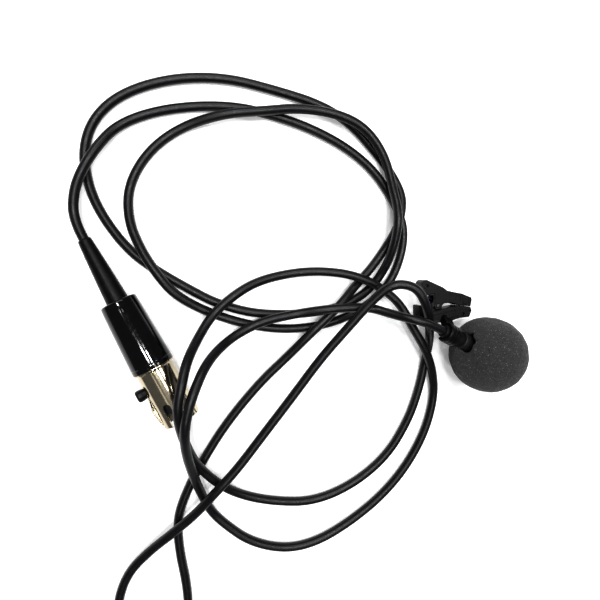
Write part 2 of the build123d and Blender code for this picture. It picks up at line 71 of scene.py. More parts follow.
# ------------------------------------------------------------------ sizes, in millimetres
HOUSING_R = 2.3
HOUSING_FRONT = -3.4
HOUSING_REAR = 9.8
HOUSING_BORE_R = 2.0
FRONT_LIP_R = 1.7
FRONT_LIP = 0.3
REAR_WALL = 0.4
TAIL_END = 15.6
SLEEVE_R = 1.6
SLEEVE_FOOT_R = 1.97
SLEEVE_FOOT = 1.5
GROOVE = 0.1
BORE_R = 2.38
BORE_END = -3.8
MOUTH_START = 3.0
MOUTH_RISE = math.radians(21)
MOUTH_FLARE = 0.25 / 9
COLLAR = 0.9
PUCKER = 0.6
LIP_ROUND = math.radians(5.5)
FOAM_STEP = 0.115
FOAM_AROUND = 330
PORE_SIZE = 0.42
PORE_DEPTH = 0.13

RING_START = 11.9
RING_END = 14.9
RING_R = 2.5
RING_GROOVE = 0.16
RING_PITCH = 0.95
SLOT_ANGLE = math.radians(-50)
SLOT_WIDTH = 1.3
CHEEK = 0.7
EAR_LOW = 0.75
EAR = 0.6
PIN_R = 0.5
NOTCH_R = 0.17
COIL_R = 0.78
COIL_TURNS = 3.5
COIL_HEIGHT = 0.88
COIL_START = math.radians(-110)
COIL_STEPS = 90
WIRE_R = 0.13
RIM = 0.16
EDGE = 0.05
FIT = 0.02

BARREL_LENGTH = 16.92
BARREL_FRONT_R = 4.9
BARREL_REAR_R = 4.15
NOSE_R = 4.4
NOSE_BORE_R = 3.8
NOSE_LENGTH = 14.0
SHANK_R = 4.05
SHANK_LENGTH = 5.0
SHANK_BORE_R = 3.6
BARREL_BORE_R = 3.55
BARREL_END = 1.5
BOOT_FOOT_R = 3.5
BOOT_FOOT = 2.3
BOOT_LENGTH = 15.5
BOOT_BASE_R = 2.45
BOOT_TIP_R = 1.45
WINDOW_START = 2.9
WINDOW_WIDTH = 3.0
BUTTON_AT = 4.5
BUTTON_R = 1.4
KEYWAY_TURN = math.radians(-62)
KEYWAY_START = 9.4
KEYWAY_WIDTH = 1.8
LATCH_WIDTH = 2.6
LEAF_WIDTH = 1.6
CABLE_DIAMETER = 2.2


# ------------------------------------------------------------------ frames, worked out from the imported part
def local_frame(origin, x_dir, z_dir):
    """Millimetres in a frame at origin, with its Z along z_dir and its X near x_dir, to metres."""
    z = z_dir.normalized()
    x = (x_dir - z * x_dir.dot(z)).normalized()
    turn = Matrix((x, z.cross(x), z)).transposed()
    return Matrix.Translation(origin) @ turn.to_4x4() @ Matrix.Scale(MM, 4)


ball_low, ball_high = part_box("foam_windscreen")
BALL_R = (ball_high.z - ball_low.z) / 2 / MM
ball_centre = Vector((ball_high.x - BALL_R * MM, (ball_low.y + ball_high.y) / 2, BALL_R * MM))
tail_dir = -Vector(joints["windscreen_slide"]["axis"])
mic_frame = local_frame(ball_centre, Vector((-tail_dir.y, tail_dir.x, 0)), tail_dir)

pivot = Vector(joints["clip_hinge"]["pos_m"])
clip_low, clip_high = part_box("clip_pin")
CLIP_WIDTH = (clip_high.z - clip_low.z) / MM
clip_frame = local_frame(Vector((pivot.x, pivot.y, clip_low.z)), Vector((1, 0, 0)), Vector((0, 0, 1)))

plug_dir = Vector(mounts["plug_nose"]["axis"])
latch_side = -Vector(joints["latch_press"]["axis"])
plug_mouth = Vector(mounts["plug_nose"]["pos_m"]) - plug_dir * NOSE_LENGTH * MM
plug_frame = local_frame(plug_mouth, latch_side.cross(plug_dir), plug_dir)
BARREL_REAR = -BARREL_LENGTH
BOOT_TIP = BARREL_REAR - BOOT_LENGTH

# ------------------------------------------------------------------ camera
CAMERA_PLACE = Vector((-64.29, 16.975, 112.62)) * MM
CAMERA_VIEW = Vector((0.19036, -0.06848, -0.97932))
CAMERA_UP = Vector((0.01307, 0.99765, -0.06722))
camera_data = bpy.data.cameras.new("camera")
camera_data.sensor_width = 36
camera_data.lens = 27.18
camera_data.clip_start = 0.001
camera = bpy.data.objects.new("camera", camera_data)
scene.collection.objects.link(camera)
camera.matrix_world = Matrix.Translation(CAMERA_PLACE) @ Matrix(
    (CAMERA_VIEW.cross(CAMERA_UP), CAMERA_UP, -CAMERA_VIEW)
).transposed().to_4x4()
scene.camera = camera

# ------------------------------------------------------------------ cable
# The points run from the microphone's tail to the plug's boot, in millimetres.
CABLE_POINTS = [
    (-17.5, 5, 12), (-21.5, 6, 8.9), (-26, 7.5, 6.6), (-32.5, 7.5, 6.5), (-38, 7, 5.6),
    (-44, 6, 3.8), (-52, 4.5, 3.8), (-58.5, 1.5, 4.2), (-63, -1.5, 7.2), (-66, -4.5, 11.4),
    (-68, -8.5, 14), (-69.5, -12.5, 15.2), (-70.5, -17.5, 15.2), (-70.5, -23, 12.2), (-69.5, -29.5, 8),
    (-68, -36, 3.9), (-65.5, -43, 1.2), (-62, -47, 1.1), (-55.5, -52.5, 1.1), (-46.5, -55.5, 1.1),
    (-38, -54.5, 1.1), (-29, -50, 1.1), (-20.5, -44, 1.1), (-13.5, -36.5, 1.1), (-8, -27, 1.1),
    (-5.5, -17, 1.1), (-7.5, -9.5, 3.4), (-10.5, -3.5, 5.2), (-14, 2, 5), (-17, 8, 4.2),
    (-22.5, 12.5, 4), (-29.5, 15.5, 3.9), (-37.5, 16.5, 3), (-45, 16, 1.5), (-53.5, 14, 2.4),
    (-59.5, 10.5, 3.9), (-64.5, 6, 4.1), (-68, 0.5, 7.2), (-70, -3.5, 11.4), (-71, -8, 14),
    (-72, -13, 14.4), (-71.5, -18.5, 12.3), (-70, -25, 8.1), (-68, -30.5, 4.2), (-63.5, -35.5, 3.2),
    (-57.5, -40, 1.2), (-49, -42.5, 1.1), (-39, -43.5, 1.1), (-28.5, -40, 1.1), (-19, -33, 1.1),
    (-13, -23.5, 1.1), (-10, -15, 1.1), (-8.5, -7.5, 1.1), (-8, -2.5, 2.5), (-11.5, 3.2, 9.3),
    (-14, 8.5, 12.6), (-17, 13, 12.6), (-22.5, 13.5, 11.4), (-27, 9, 9.4), (-32, 3, 8.2),
    (-38.5, -4.5, 7), (-45.5, -14, 6.2), (-53, -23.5, 6), (-59, -31, 6.2), (-64, -36, 6.4),
    (-69, -42, 4.6), (-74.5, -46.5, 3.9), (-80, -51.5, 1.7), (-85, -56.5, 1.1), (-87.5, -62.5, 1.1),
    (-88, -69, 1.1), (-85.5, -75, 1.1), (-79.5, -77.5, 1.1), (-73.5, -75, 1.1), (-71, -69, 1.1),
    (-71.5, -61, 1.1), (-73, -53, 1.1), (-73.5, -44.5, 1.1), (-71, -37.5, 1.1), (-67.5, -31, 1.1),
    (-61.5, -21.5, 1.1), (-53, -11.5, 1.1), (-46, -5, 1.7), (-41, 0.5, 3.7), (-36.5, 4.5, 3.8),
    (-32.5, 8.5, 3.7), (-28, 13, 1.5), (-24, 17, 1.1), (-20, 22.5, 1.2), (-18, 27, 3.3),
    (-17, 31, 3.9), (-16.5, 35.5, 3), (-18.5, 41, 1.1), (-23, 46.5, 1.1), (-30, 53.5, 1.1),
    (-38, 57.5, 1.1), (-49, 60, 1.1), (-60.5, 62, 1.1), (-72.5, 61, 1.1), (-83.5, 57, 1.1),
    (-90, 51, 1.1), (-92.5, 43.5, 1.1), (-91.5, 35.5, 1.1), (-88.5, 28.5, 1.1), (-83, 21, 1.1),
    (-77, 16.5, 1.1), (-69.5, 12, 1.1), (-63, 8.5, 1.1), (-54.5, 6, 1.1), (-44, 5.5, 1.1),
    (-35, 6.5, 1.1), (-28, 9, 1.1), (-23.5, 12.5, 1.1), (-20.5, 17.5, 2.6), (-19.5, 22.5, 5.2),
    (-19, 27, 6.4), (-19, 31.5, 6.4), (-19.5, 36.5, 4.4), (-21.5, 45, 3.7), (-26.5, 51.5, 3.7),
    (-33.5, 54.5, 3.7), (-43, 55.5, 3.2), (-52, 54, 3.7), (-61, 53, 3.4), (-71, 50, 1.1),
    (-78.5, 44, 1.1), (-83, 36, 1.1), (-83, 28, 1.6), (-80, 21, 3.7), (-76.5, 15.5, 3.9),
    (-73, 11, 2.9), (-66.5, 7, 1.1), (-58.5, 4, 1.1), (-49.5, 2, 1.1), (-40.5, 2, 1.1),
    (-31.5, 4, 1.1), (-24, 8, 1.1), (-18.5, 13.5, 1.1), (-15.5, 21, 1.1), (-15, 28, 1.1),
    (-18, 34.5, 1.1), (-23.5, 42, 1.1), (-31, 47.5, 1.1), (-40, 51.5, 1.1), (-49, 54, 1.1),
    (-58, 55.5, 1.1), (-68, 55, 1.1), (-77.5, 53, 1.1), (-85, 49.5, 1.3), (-89, 44, 3.5),
    (-92, 39, 3.9), (-94, 34, 3.7),
]
route = [
    mic_frame @ Vector((0, 0, TAIL_END)),
    mic_frame @ Vector((0, 0, TAIL_END + 4.5)),
    *[Vector(point) * MM for point in CABLE_POINTS],
    plug_frame @ Vector((0, 0, BOOT_TIP - 5.0)),
    plug_frame @ Vector((0, 0, BOOT_TIP)),
]
cable_curve = bpy.data.curves.new("cable_line", "CURVE")
cable_curve.dimensions = "3D"
cable_curve.resolution_u = 10
cable_curve.bevel_depth = CABLE_DIAMETER / 2 * MM
cable_curve.bevel_resolution = 8
cable_curve.use_fill_caps = True
spline = cable_curve.splines.new("NURBS")
spline.points.add(len(route) - 1)
for point, place in zip(spline.points, route):
    point.co = (*place, 1)
spline.order_u = 3
spline.use_endpoint_u = True
cable = bpy.data.objects.new("cable_round", cable_curve)
scene.collection.objects.link(cable)


# ------------------------------------------------------------------ materials
class Finish:
    """A material whose texture coordinates are millimetres in the row frame."""

    def __init__(self, name, color, roughness, metallic=0.0, **sockets):
        self.material = bpy.data.materials.new(name)
        self.material.use_nodes = True
        self.tree = self.material.node_tree
        self.surface = self.tree.nodes["Principled BSDF"]
        self.surface.inputs["Base Color"].default_value = (*color, 1)
        self.surface.inputs["Roughness"].default_value = roughness
        self.surface.inputs["Metallic"].default_value = metallic
        for socket, value in sockets.items():
            self.surface.inputs[socket.replace("_", " ")].default_value = value
        place = self.tree.nodes.new("ShaderNodeTexCoord")
        scaled = self.add("ShaderNodeMapping", Scale=(1 / MM, 1 / MM, 1 / MM))
        self.link(place.outputs["Object"], scaled.inputs["Vector"])
        self.coords = scaled.outputs["Vector"]
        self.color = color
        self.normal = None

    def add(self, kind, **inputs):
        node = self.tree.nodes.new(kind)
        for socket, value in inputs.items():
            node.inputs[socket].default_value = value
        return node

    def link(self, source, target):
        self.tree.links.new(source, target)

    def noise(self, size, detail=3.0, coords=None, roughness=0.5):
        """A noise from 0 to 1 with features of about that size, in millimetres."""
        texture = self.add("ShaderNodeTexNoise", Scale=1 / size, Detail=detail, Roughness=roughness)
        self.link(coords or self.coords, texture.inputs["Vector"])
        return texture.outputs["Fac"]

    def cells(self, size):
        """The distance to the nearest of many scattered points about that far apart."""
        texture = self.add("ShaderNodeTexVoronoi", Scale=1 / size)
        self.link(self.coords, texture.inputs["Vector"])
        return texture.outputs["Distance"]

    def along(self, direction):
        """Coordinates that change along one direction only, for turned or drawn lines."""
        dot = self.tree.nodes.new("ShaderNodeVectorMath")
        dot.operation = "DOT_PRODUCT"
        dot.inputs[1].default_value = direction
        self.link(self.coords, dot.inputs[0])
        joined = self.tree.nodes.new("ShaderNodeCombineXYZ")
        self.link(dot.outputs["Value"], joined.inputs["X"])
        return joined.outputs["Vector"]

    def ranged(self, value, low, high, start=0.3, end=0.7):
        """The value between start and end, spread from low to high."""
        spread = self.add("ShaderNodeMapRange")
        spread.inputs["From Min"].default_value = start
        spread.inputs["From Max"].default_value = end
        spread.inputs["To Min"].default_value = low
        spread.inputs["To Max"].default_value = high
        self.link(value, spread.inputs["Value"])
        return spread.outputs["Result"]

    def tint(self, factor, other):
        """Mixes the colour so far with another one by factor."""
        mix = self.tree.nodes.new("ShaderNodeMix")
        mix.data_type = "RGBA"
        base = self.surface.inputs["Base Color"]
        if base.is_linked:
            self.link(base.links[0].from_socket, mix.inputs["A"])
        else:
            mix.inputs["A"].default_value = tuple(base.default_value)
        mix.inputs["B"].default_value = (*other, 1)
        self.link(factor, mix.inputs["Factor"])
        self.link(mix.outputs["Result"], base)

    def roughness(self, value, low, high, start=0.3, end=0.7):
        self.link(self.ranged(value, low, high, start, end), self.surface.inputs["Roughness"])

    def bump(self, height, depth, strength=1.0):
        """Adds a height field whose full range is depth millimetres."""
        bump = self.add("ShaderNodeBump", Strength=strength, Distance=depth * MM)
        self.link(height, bump.inputs["Height"])
        if self.normal:
            self.link(self.normal, bump.inputs["Normal"])
        self.normal = bump.outputs["Normal"]
        self.link(self.normal, self.surface.inputs["Normal"])


def moulded(name, color, roughness, grain, depth, **sockets):
    """Moulded plastic or rubber: fine spark-eroded grain, patches of wear and a few dull smears."""
    sockets.setdefault("Specular_IOR_Level", 0.2)
    finish = Finish(name, color, roughness, **sockets)
    patches = finish.noise(2.6, 4)
    finish.tint(finish.ranged(patches, 0, 0.5), [c * 1.8 + 0.001 for c in color])
    finish.roughness(finish.noise(1.1, 5), roughness - 0.07, roughness + 0.09)
    finish.bump(finish.noise(grain, 3), depth)
    finish.bump(finish.cells(grain * 1.7), depth * 0.7)
    return finish


def turned(name, color, roughness, direction, **sockets):
    """Turned metal: lathe lines round its axis, fine scratches and a slightly uneven tone."""
    finish = Finish(name, color, roughness, metallic=1.0, **sockets)
    lines = finish.noise(0.12, 4, finish.along(direction))
    finish.tint(finish.ranged(finish.noise(1.8, 4), 0, 0.5), [c * 0.72 for c in color])
    finish.roughness(lines, roughness * 0.7, roughness * 1.5)
    finish.bump(lines, 0.006, 0.5)
    finish.bump(finish.noise(0.5, 2), 0.004, 0.35)
    return finish


def scratched(finish, direction, amount):
    """Hair scratches that run mostly along one direction."""
    stretch = finish.add("ShaderNodeMapping", Scale=(1, 1, 1))
    aim = Vector(direction).to_track_quat("X", "Z").inverted().to_euler()
    stretch.inputs["Rotation"].default_value = aim
    finish.link(finish.coords, stretch.inputs["Vector"])
    thin = finish.add("ShaderNodeMapping", Scale=(0.12, 2.5, 2.5))
    finish.link(stretch.outputs["Vector"], thin.inputs["Vector"])
    marks = finish.noise(0.5, 6, thin.outputs["Vector"], 0.7)
    finish.bump(finish.ranged(marks, 0, 1, 0.62, 0.7), 0.004, amount)


axis = tuple(plug_dir)
cable_finish = moulded("cable_jacket", (0.004, 0.004, 0.005), 0.36, 0.22, 0.005, Specular_IOR_Level=0.32)
housing_finish = turned("housing_black", (0.016, 0.016, 0.017), 0.42, tuple(tail_dir))
housing_finish.surface.inputs["Metallic"].default_value = 0.0
housing_finish.surface.inputs["Specular IOR Level"].default_value = 0.25
sleeve_finish = moulded("sleeve_rubber", (0.005, 0.005, 0.006), 0.5, 0.15, 0.01)
clip_finish = moulded("clip_plastic", (0.0025, 0.0025, 0.003), 0.36, 0.2, 0.008)
pin_finish = turned("pin_steel", (0.06, 0.06, 0.065), 0.38, (0, 0, 1))
spring_finish = turned("spring_blued", (0.05, 0.055, 0.14), 0.28, (1, 0, 0))
boot_finish = moulded("boot_rubber", (0.0015, 0.0015, 0.0018), 0.42, 0.18, 0.008)
button_finish = moulded("button_plastic", (0.006, 0.006, 0.006), 0.3, 0.2, 0.005)
insert_finish = moulded("insert_plastic", (0.02, 0.02, 0.021), 0.45, 0.25, 0.008)
contact_finish = turned("contact_gold", (0.83, 0.6, 0.24), 0.2, axis)
brass_finish = turned("brass", (0.62, 0.46, 0.2), 0.3, axis)

barrel_finish = moulded(
    "barrel_gloss", (0.002, 0.002, 0.0025), 0.09, 1.6, 0.012, Coat_Weight=0.4, Coat_Roughness=0.04
)
barrel_finish.roughness(barrel_finish.noise(0.8, 5), 0.05, 0.16)
scratched(barrel_finish, axis, 0.25)

nickel_finish = turned("nickel", (0.58, 0.52, 0.39), 0.12, axis)
nickel_finish.tint(nickel_finish.ranged(nickel_finish.noise(3.2, 3), 0, 0.35), (0.42, 0.34, 0.27))
scratched(nickel_finish, axis, 0.3)

foam_finish = Finish("foam_open_cell", (0.014, 0.014, 0.0142), 0.92, Sheen_Weight=0.12, Sheen_Roughness=0.6)
# painted shade: the foam's colour goes nearly black in its pits, following the pit depth that the foam mesh stores
# for it
pore_shade = foam_finish.tree.nodes.new("ShaderNodeAttribute")
pore_shade.attribute_name = "pore_shade"
foam_finish.tint(foam_finish.ranged(foam_finish.noise(0.16, 4), 0, 1, 0.4, 0.8), (0.058, 0.058, 0.057))
foam_finish.tint(foam_finish.ranged(pore_shade.outputs["Fac"], 0, 0.95, 0.25, 0.9), (0.002, 0.002, 0.002))
grains = foam_finish.noise(0.3, 2, roughness=0.8)
foam_finish.tint(foam_finish.ranged(grains, 0, 0.9, 0.64, 0.7), (0.14, 0.14, 0.13))
glints = foam_finish.cells(0.62)
foam_finish.tint(foam_finish.ranged(glints, 0.9, 0, 0.07, 0.17), (0.24, 0.24, 0.23))
foam_finish.bump(foam_finish.noise(0.1, 2), 0.05, 0.8)

hidden_finishes = {
    "grille_metal": turned("grille_metal", (0.2, 0.2, 0.2), 0.4, tuple(tail_dir)),
    "cloth": moulded("grille_cloth", (0.03, 0.03, 0.03), 0.9, 0.12, 0.03),
    "gasket_rubber": moulded("gasket_rubber", (0.02, 0.02, 0.02), 0.7, 0.2, 0.01),
    "capsule_metal": turned("capsule_metal", (0.8, 0.8, 0.8), 0.25, tuple(tail_dir)),
    "board": moulded("board_green", (0.02, 0.16, 0.06), 0.4, 0.3, 0.01),
    "solder": turned("solder", (0.7, 0.7, 0.72), 0.2, tuple(tail_dir)),
    "conductor": moulded("conductor_red", (0.4, 0.04, 0.03), 0.45, 0.2, 0.01),
    "brass": brass_finish,
    "insert_plastic": insert_finish,
    "contact_gold": contact_finish,
}


# ------------------------------------------------------------------ mesh tools, in millimetres
def new_object(bm, name="tool"):
    bmesh.ops.recalc_face_normals(bm, faces=bm.faces)
    mesh = bpy.data.meshes.new(name)
    bm.to_mesh(mesh)
    bm.free()
    made = bpy.data.objects.new(name, mesh)
    scene.collection.objects.link(made)
    return made


def arc(start, middle, end, steps=10):
    """Points of the arc through three points, ends included."""
    a, b, c = (Vector(p) for p in (start, middle, end))
    ab, ac = b - a, c - a
    twice = 2 * (ab.x * ac.y - ab.y * ac.x)
    ux = (ac.y * ab.length_squared - ab.y * ac.length_squared) / twice
    uy = (ab.x * ac.length_squared - ac.x * ab.length_squared) / twice
    centre = a + Vector((ux, uy))
    first = (a - centre).to_3d()
    turn = (a - centre).angle_signed(b - centre) + (b - centre).angle_signed(c - centre)
    return [
        tuple((centre.to_3d() + Matrix.Rotation(-turn * i / steps, 3, "Z") @ first).to_2d())
        for i in range(steps + 1)
    ]


def rounded(corners, radius, steps=4):
    """A closed outline with its sharp corners rounded; a third number is a corner's own radius."""
    outline = []
    count = len(corners)
    for i in range(count):
        before, corner, after = (Vector(corners[(i + k) % count][:2]) for k in (-1, 0, 1))
        own = corners[i][2] if len(corners[i]) > 2 else radius
        back, ahead = before - corner, after - corner
        half = back.angle(ahead) / 2
        if half > math.radians(80) or own <= 0:
            outline.append(tuple(corner))
            continue
        reach = min(own / math.tan(half), 0.49 * min(back.length, ahead.length))
        r = reach * math.tan(half)
        centre = corner + (back.normalized() + ahead.normalized()).normalized() * r / math.sin(half)
        start = corner + back.normalized() * reach - centre
        end = corner + ahead.normalized() * reach - centre
        turn = -start.angle_signed(end)
        for k in range(steps + 1):
            spoke = Matrix.Rotation(turn * k / steps, 2) @ start
            outline.append(tuple(centre + spoke))
    return outline


def circle(radius, centre=(0, 0), steps=SMALL):
    sides = [TURN * k / steps for k in range(steps)]
    return [(centre[0] + radius * math.cos(a), centre[1] + radius * math.sin(a)) for a in sides]


def lathe(profile, segments=FINE):
    """A closed body turned about Z: profile is a closed loop of (radius, height)."""
    bm = bmesh.new()
    rings = [[bm.verts.new((*spot, z)) for spot in circle(r, steps=segments)] for r, z in profile]
    closes = profile[0][0] > 0 or profile[-1][0] > 0
    for lower, upper in zip(rings, rings[1:] + rings[:1] if closes else rings[1:]):
        for k in range(segments):
            bm.faces.new((lower[k], lower[k - 1], upper[k - 1], upper[k]))
    bmesh.ops.remove_doubles(bm, verts=bm.verts, dist=1e-5)
    return new_object(bm)


def prism(outline, low, high, edge=0.0, turn=None):
    """An extruded outline from low to high, with rounded rims when edge is over 0."""
    count = len(outline)
    points = [Vector(p) for p in outline]
    area = sum(points[i].cross(points[(i + 1) % count]) for i in range(count))
    side = 1 if area > 0 else -1
    inward = []
    for i in range(count):
        a = (points[i] - points[i - 1]).normalized()
        b = (points[(i + 1) % count] - points[i]).normalized()
        way = (a.orthogonal() + b.orthogonal()).normalized() * side
        inward.append(way / max(0.5, way.dot(a.orthogonal() * side)))
    quarter = [TURN / 4 * k / 3 for k in range(4)] if edge else [TURN / 4]
    levels = [(edge * (1 - math.sin(a)), low + edge * (1 - math.cos(a))) for a in quarter]
    levels += [(inset, low + high - z) for inset, z in reversed(levels)]
    bm = bmesh.new()
    rings = [
        [bm.verts.new((*(p + way * inset), z)) for p, way in zip(points, inward)] for inset, z in levels
    ]
    for lower, upper in zip(rings, rings[1:]):
        for k in range(count):
            bm.faces.new((lower[k - 1], lower[k], upper[k], upper[k - 1]))
    bm.faces.new(rings[0])
    bm.faces.new(rings[-1])
    if turn:
        bmesh.ops.transform(bm, matrix=turn, verts=bm.verts)
    return new_object(bm)


def rectangle(width, height, centre=(0, 0), angle=0.0):
    w, h = width / 2, height / 2
    corners = [(-w, -h), (w, -h), (w, h), (-w, h)]
    c, s = math.cos(angle), math.sin(angle)
    return [(centre[0] + x * c - y * s, centre[1] + x * s + y * c) for x, y in corners]


def settle(obj):
    """Puts the modifiers' result into the mesh."""
    bpy.context.view_layer.update()
    evaluated = obj.evaluated_get(bpy.context.evaluated_depsgraph_get())
    mesh = bpy.data.meshes.new_from_object(evaluated)
    obj.modifiers.clear()
    obj.data = mesh


def combine(obj, operation, *tools):
    for tool in tools:
        step = obj.modifiers.new("step", "BOOLEAN")
        step.operation = operation
        step.solver = "EXACT"
        step.object = tool
        settle(obj)
        bpy.data.objects.remove(tool)
    return obj


def bevelled(obj, width, segments=2):
    """Rounds the edges sharper than CREASE."""
    step = obj.modifiers.new("edges", "BEVEL")
    step.width = width
    step.segments = segments
    step.limit_method = "ANGLE"
    step.angle_limit = CREASE
    settle(obj)
    return obj


def moved(obj, matrix):
    obj.data.transform(matrix)
    return obj


def place(obj, name, matrix, finish, body, slot, *stands_for, crease=38, flat=False):
    """Makes a finished piece of an object modelled in millimetres."""
    obj.name = name
    obj.data.name = name
    obj.data.transform(matrix)
    obj.data.materials.clear()
    obj.data.materials.append(finish.material)
    obj.data.polygons.foreach_set("use_smooth", [True] * len(obj.data.polygons))
    obj.data.set_sharp_from_angle(angle=math.radians(crease))
    if flat:
        step = obj.modifiers.new("flat_faces", "WEIGHTED_NORMAL")
        step.keep_sharp = True
        settle(obj)
    if body:
        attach(obj, body)
    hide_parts(*stands_for)
    return obj


def tube_through(points, radius):
    """A wire of that radius through points, as a closed mesh in millimetres."""
    curve = bpy.data.curves.new("wire", "CURVE")
    curve.dimensions = "3D"
    curve.bevel_depth = radius
    curve.bevel_resolution = 4
    curve.use_fill_caps = True
    line = curve.splines.new("POLY")
    line.points.add(len(points) - 1)
    for point, co in zip(line.points, points):
        point.co = (*co, 1)
    holder = bpy.data.objects.new("wire", curve)
    scene.collection.objects.link(holder)
    bpy.context.view_layer.update()
    mesh = bpy.data.meshes.new_from_object(holder.evaluated_get(bpy.context.evaluated_depsgraph_get()))
    bpy.data.objects.remove(holder)
    made = bpy.data.objects.new("wire", mesh)
    scene.collection.objects.link(made)
    return made


def grooves(radius, starts, width, depth=GROOVE, slope=0.06):
    """Profile points of grooves cut into a wall of that radius, each from its own start."""
    points = []
    for z in starts:
        points += [(radius, z, 0), (radius - depth, z + slope, 0)]
        points += [(radius - depth, z + width - slope, 0), (radius, z + width, 0)]
    return points


def across_clip(outline):
    """A cutter right through the clip's width."""
    return prism(outline, -1, CLIP_WIDTH + 1)


def both_sides(outline, depth):
    """Two cutters of that depth, one for each side of the clip."""
    return [prism(outline, -0.5, depth), prism(outline, CLIP_WIDTH - depth, CLIP_WIDTH + 0.5)]


# SIDEWAYS turns an outline's (x, y) into (x, z); OUTWARD turns it into (z, -y), with the depth along x
SIDEWAYS = Matrix.Rotation(math.radians(90), 4, "X")
OUTWARD = Matrix(((0, 0, 1, 0), (0, -1, 0, 0), (1, 0, 0, 0), (0, 0, 0, 1)))


# ------------------------------------------------------------------ plug
def make_barrel():
    profile = rounded(
        [
            (BOOT_BASE_R + 0.03, BARREL_REAR),
            (BARREL_REAR_R - 0.05, BARREL_REAR, 0.45),
            (BARREL_REAR_R + 0.1, BARREL_REAR + 2.2, 6),
            (BARREL_FRONT_R - 0.03, -1.35, 4),
            (BARREL_FRONT_R - 0.03, -1.2, 0.05),
            (BARREL_FRONT_R - 0.09, -1.1, 0.05),
            (BARREL_FRONT_R - 0.02, -1.0, 0.05),
            (BARREL_FRONT_R, 0, 0.14),
            (SHANK_R + FIT, 0, 0.1),
            (SHANK_R + FIT, -SHANK_LENGTH - 0.2, 0),
            (BARREL_BORE_R, -SHANK_LENGTH - 0.2, 0),
            (BARREL_BORE_R, BARREL_REAR + BARREL_END, 0),
            (BOOT_BASE_R + 0.03, BARREL_REAR + BARREL_END, 0),
        ],
        0.1,
    )
    place(lathe(profile), "barrel", plug_frame, barrel_finish, "root", "barrel_gloss", "plug_barrel")


def make_boot():
    length = BARREL_REAR - BOOT_TIP
    outside = [
        (BOOT_BASE_R - (BOOT_BASE_R - BOOT_TIP_R) * (t**1.15), BARREL_REAR - length * t)
        for t in (k / 14 for k in range(15))
    ]
    profile = [
        (CABLE_DIAMETER / 2 + FIT, BARREL_REAR + BOOT_FOOT),
        (BOOT_FOOT_R, BARREL_REAR + BOOT_FOOT),
        (BOOT_FOOT_R, BARREL_REAR + BARREL_END),
        (BOOT_BASE_R, BARREL_REAR + BARREL_END),
        *outside[:-1],
        (BOOT_TIP_R + FIT, BOOT_TIP + 0.35),
        (BOOT_TIP_R - 0.08, BOOT_TIP + 0.08),
        (BOOT_TIP_R - 0.2, BOOT_TIP),
        (CABLE_DIAMETER / 2 + FIT, BOOT_TIP),
    ]
    place(lathe(profile), "boot", plug_frame, boot_finish, "root", "boot_rubber", "plug_boot", crease=50)


def make_shell():
    profile = rounded(
        [
            (SHANK_BORE_R, -SHANK_LENGTH, 0),
            (SHANK_R, -SHANK_LENGTH, 0),
            (SHANK_R, 0.02, 0),
            (BARREL_FRONT_R - 0.08, 0.02, 0.08),
            (BARREL_FRONT_R - 0.1, 0.36, 0.16),
            (NOSE_R, 0.62, 0.15),
            (NOSE_R, NOSE_LENGTH, 0.26),
            (NOSE_BORE_R, NOSE_LENGTH, 0.1),
            (NOSE_BORE_R, 0, 0),
            (SHANK_BORE_R, 0, 0),
        ],
        0.1,
    )
    shell = lathe(profile, 160)
    reach = NOSE_LENGTH + 6
    opening = rounded(rectangle(reach, WINDOW_WIDTH, (WINDOW_START + reach / 2, 0)), 0.35)
    window = prism(opening, 3.0, 6.0, turn=OUTWARD)
    keyway_outline = [
        *arc(
            (KEYWAY_START, KEYWAY_WIDTH / 2),
            (KEYWAY_START - KEYWAY_WIDTH / 2, 0),
            (KEYWAY_START, -KEYWAY_WIDTH / 2),
            16,
        ),
        (NOSE_LENGTH + 2, -KEYWAY_WIDTH / 2),
        (NOSE_LENGTH + 2, KEYWAY_WIDTH / 2),
    ]
    keyway = prism(keyway_outline, 3.0, 6.0, turn=Matrix.Rotation(KEYWAY_TURN, 4, "Z") @ OUTWARD)
    combine(shell, "DIFFERENCE", window, keyway)
    bevelled(shell, 0.09, 3)
    place(shell, "shell", plug_frame, nickel_finish, "root", "nickel", "plug_shell", flat=True)


def make_latch():
    outline = rounded(
        [
            (2.96, -2.2),
            (3.3, -2.2),
            (3.3, 2.4, 0.8),
            (4.15, 3.3, 0.6),
            (4.15, 8.7, 0.2),
            (5.0, 8.75, 0.12),
            (4.98, 9.4, 0.3),
            (4.55, 12.2, 3),
            (4.1, 13.8, 0.25),
            (3.6, 13.8, 0.1),
            (3.6, 3.7, 0.6),
            (2.96, 2.9, 0.6),
        ],
        0.1,
    )
    lever = prism(outline, -LATCH_WIDTH / 2, LATCH_WIDTH / 2, 0.12, SIDEWAYS)
    place(lever, "latch_strip", plug_frame, nickel_finish, "latch", "nickel", "latch_lever", flat=True)
    dome = rounded(
        [
            (0, 4.15, 0),
            (BUTTON_R - 0.2, 4.15, 0),
            (BUTTON_R - 0.1, 4.9, 0.3),
            (BUTTON_R, 5.3, 0.4),
            (BUTTON_R, 6.4, 1.1),
            (0, 6.4, 0),
        ],
        0.1,
        8,
    )
    button = lathe(dome, 72)
    moved(button, Matrix.Translation((0, 0, BUTTON_AT)) @ Matrix.Rotation(math.radians(90), 4, "Y"))
    place(button, "button", plug_frame, button_finish, "latch", "button_plastic", "latch_button")
    leaf = rounded(
        [(2.67, 4.0), (3.45, 6.88, 0.4), (2.67, 9.6), (2.84, 9.6), (3.45, 6.72, 0.4), (2.84, 4.0)], 0.03
    )
    spring = prism(leaf, -LEAF_WIDTH / 2, LEAF_WIDTH / 2, 0.02, SIDEWAYS)
    place(spring, "latch_leaf", plug_frame, spring_finish, None, "spring_steel", "latch_spring")
    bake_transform(spring)


make_barrel()
make_boot()
make_shell()
make_latch()


